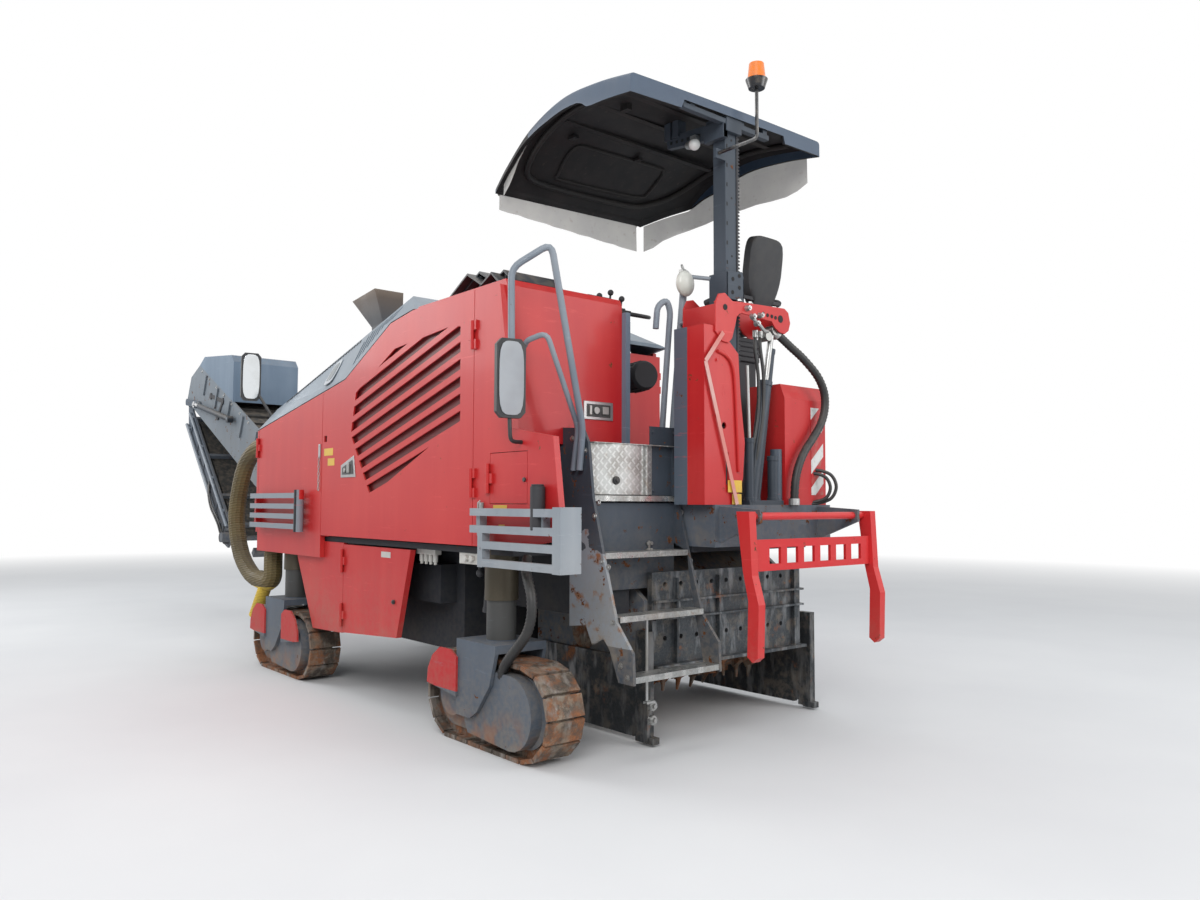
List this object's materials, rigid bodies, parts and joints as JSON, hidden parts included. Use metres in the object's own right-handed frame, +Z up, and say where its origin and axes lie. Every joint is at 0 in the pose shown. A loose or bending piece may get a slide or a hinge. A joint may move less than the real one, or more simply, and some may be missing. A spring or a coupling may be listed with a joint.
{
  "type": "cold planer",
  "caption": "Compact road milling machine on steered tracks with raised canopy, operator's stand and a folded discharge belt.",
  "frame": {"origin": "on the ground in the middle of the machine's length and width as it stands parked with the belt folded", "axes": "+X forward to the discharge belt, +Y to the machine's left, +Z up"},
  "size_m": [10.2775, 2.7659, 4.45],
  "materials": {
    "red_paint": "gloss, sun-worn and scuffed",
    "grey_paint": "satin, scratched and dusty",
    "dark_steel": "matt, dusty",
    "worn_steel": "bare, rusted with polished edges",
    "bright_rod": "polished",
    "black_plastic": "moulded, faded",
    "belt_rubber": "matt, dusty",
    "hose": "matt ribbed",
    "beacon_plastic": "clear amber dome on black foot"
  },
  "bodies": {
    "frame": {"chassis": "dark_steel", "leg_tubes": "dark_steel", "drum_box": "dark_steel", "engine": "dark_steel", "hood": "red_paint", "hood_top": "grey_paint", "inner_wall": "grey_paint", "rear_panel": "red_paint", "fender_left": "red_paint", "fender_right": "red_paint", "bumper_rear_left": "grey_paint", "platform": "grey_paint", "ladder": "grey_paint", "treads": "worn_steel", "rear_base": "grey_paint", "mast_housing": "red_paint", "mast_head": "red_paint", "cabinet": "red_paint", "console": "black_plastic", "seat": "black_plastic", "handrails": "grey_paint", "exhaust": "grey_paint", "mirrors": "black_plastic", "feed_belt": "dark_steel", "dust_hose": "hose"},
    "track_front_left": {"loop_front_left": "worn_steel", "track_front_left": "dark_steel"},
    "track_front_right": {"loop_front_right": "worn_steel", "track_front_right": "dark_steel"},
    "track_rear_left": {"loop_rear_left": "worn_steel", "track_rear_left": "dark_steel"},
    "track_rear_right": {"loop_rear_right": "worn_steel", "track_rear_right": "dark_steel"},
    "drum": {"drum": "worn_steel"},
    "steering_wheel": {"steering_wheel": "black_plastic"},
    "canopy": {"canopy_shell": "black_plastic", "canopy_mast": "grey_paint", "beacon": "beacon_plastic"},
    "louvre_door_left": {"louvre_door_left": "red_paint"},
    "louvre_door_right": {"louvre_door_right": "red_paint"},
    "front_door_left": {"front_door_left": "red_paint"},
    "front_door_right": {"front_door_right": "red_paint"},
    "lower_door_left": {"lower_door": "red_paint"},
    "small_door_left": {"small_door": "red_paint"},
    "side_plate_left": {"side_plate_left": "worn_steel"},
    "side_plate_right": {"side_plate_right": "worn_steel"},
    "scraper": {"scraper": "worn_steel"},
    "carrier": {"carrier": "red_paint"},
    "belt_yoke": {"belt_yoke": "grey_paint"},
    "belt_lower": {"belt_lower": "grey_paint", "belt_lower_band": "belt_rubber", "belt_hood": "grey_paint"},
    "lift_barrels": {"lift_barrels": "dark_steel"},
    "lift_rods": {"lift_rods": "bright_rod"},
    "belt_upper": {"belt_upper": "grey_paint", "belt_upper_band": "belt_rubber"},
    "fold_barrels": {"fold_barrels": "dark_steel"},
    "fold_rods": {"fold_rods": "bright_rod"}
  },
  "joints": [
    {"name": "front_left_steering", "type": "hinge", "parent": "frame", "child": "track_front_left", "pos_m": [-0.66, 1.051, 0.9], "axis": [0, 0, 1], "range_deg": [-25, 25]},
    {"name": "front_right_steering", "type": "hinge", "parent": "frame", "child": "track_front_right", "pos_m": [-0.66, -1.121, 0.9], "axis": [0, 0, 1], "range_deg": [-25, 25]},
    {"name": "rear_left_steering", "type": "hinge", "parent": "frame", "child": "track_rear_left", "pos_m": [-3.91, 1.051, 0.9], "axis": [0, 0, 1], "range_deg": [-15, 15]},
    {"name": "rear_right_steering", "type": "hinge", "parent": "frame", "child": "track_rear_right", "pos_m": [-2.49, -1.121, 0.9], "axis": [0, 0, 1], "range_deg": [-15, 15]},
    {"name": "drum_turn", "type": "hinge", "parent": "frame", "child": "drum", "pos_m": [-3.81, -0.485, 0.64], "axis": [0, 1, 0], "continuous": true},
    {"name": "steering_wheel_turn", "type": "hinge", "parent": "frame", "child": "steering_wheel", "pos_m": [-3.782, -0.088, 2.87], "axis": [-0.2588, 0, 0.9659], "continuous": true},
    {"name": "canopy_lift", "type": "slide", "parent": "frame", "child": "canopy", "axis": [0, 0, 1], "range_m": [-0.5, 0]},
    {"name": "louvre_door_left_hinge", "type": "hinge", "parent": "frame", "child": "louvre_door_left", "pos_m": [-3.807, 1.221, 2], "axis": [0, 0, 1], "range_deg": [0, 100]},
    {"name": "front_door_left_hinge", "type": "hinge", "parent": "frame", "child": "front_door_left", "pos_m": [-0.093, 1.221, 1.7], "axis": [0, 0, -1], "range_deg": [0, 100]},
    {"name": "lower_door_left_hinge", "type": "hinge", "parent": "frame", "child": "lower_door_left", "pos_m": [-1.873, 1.179, 0.8], "axis": [0, 0, -1], "range_deg": [0, 100]},
    {"name": "small_door_left_hinge", "type": "hinge", "parent": "frame", "child": "small_door_left", "pos_m": [-3.997, 1.221, 1.65], "axis": [0, 0, -1], "range_deg": [0, 100]},
    {"name": "louvre_door_right_hinge", "type": "hinge", "parent": "frame", "child": "louvre_door_right", "pos_m": [-2.867, -1.291, 2], "axis": [0, 0, -1], "range_deg": [0, 100]},
    {"name": "front_door_right_hinge", "type": "hinge", "parent": "frame", "child": "front_door_right", "pos_m": [-0.093, -1.291, 1.7], "axis": [0, 0, 1], "range_deg": [0, 100]},
    {"name": "side_plate_left_float", "type": "slide", "parent": "frame", "child": "side_plate_left", "axis": [0, 0, 1], "range_m": [0, 0.25]},
    {"name": "side_plate_right_float", "type": "slide", "parent": "frame", "child": "side_plate_right", "axis": [0, 0, 1], "range_m": [0, 0.25]},
    {"name": "scraper_lift", "type": "slide", "parent": "frame", "child": "scraper", "axis": [0, 0, 1], "range_m": [-0.4, 0.08]},
    {"name": "carrier_fold", "type": "hinge", "parent": "frame", "child": "carrier", "pos_m": [-5, -0.59, 1.42], "axis": [0, 1, 0], "range_deg": [0, 90]},
    {"name": "belt_slew", "type": "hinge", "parent": "frame", "child": "belt_yoke", "pos_m": [0.69, -0.035, 1.3], "axis": [0, 0, 1], "range_deg": [-60, 60]},
    {"name": "belt_lift", "type": "hinge", "parent": "belt_yoke", "child": "belt_lower", "pos_m": [0.69, -0.035, 1.3], "axis": [0, -1, 0], "range_deg": [-8, 15]},
    {"name": "lift_barrel_swing", "type": "hinge", "parent": "belt_yoke", "child": "lift_barrels", "pos_m": [0.99, -0.035, 1.15], "axis": [0, -1, 0], "range_deg": [-9.89, 18.11]},
    {"name": "lift_rod_stroke", "type": "slide", "parent": "lift_barrels", "child": "lift_rods", "axis": [0.9472, 0, 0.3205], "range_m": [-0.0398, 0.0729]},
    {"name": "belt_fold", "type": "hinge", "parent": "belt_lower", "child": "belt_upper", "pos_m": [5.06001, -0.035, 2.91726], "axis": [0, -1, 0], "range_deg": [0, 161]},
    {"name": "fold_barrel_swing", "type": "hinge", "parent": "belt_lower", "child": "fold_barrels", "pos_m": [3.09556, -0.035, 2.53522], "axis": [0, -1, 0], "range_deg": [-6.07, 0.5]},
    {"name": "fold_rod_stroke", "type": "slide", "parent": "fold_barrels", "child": "fold_rods", "axis": [0.9785, 0, 0.2063], "range_m": [-0.002, 1.1111]}
  ],
  "couplings": [
    {"joint": "lift_barrel_swing", "follows": "belt_lift", "ratio": 1.1742},
    {"joint": "lift_rod_stroke", "follows": "belt_lift", "m_per_rad": 0.2709},
    {"joint": "fold_barrel_swing", "follows": "belt_fold", "ratio": -0.0346},
    {"joint": "fold_rod_stroke", "follows": "belt_fold", "m_per_rad": 0.3947}
  ]
}
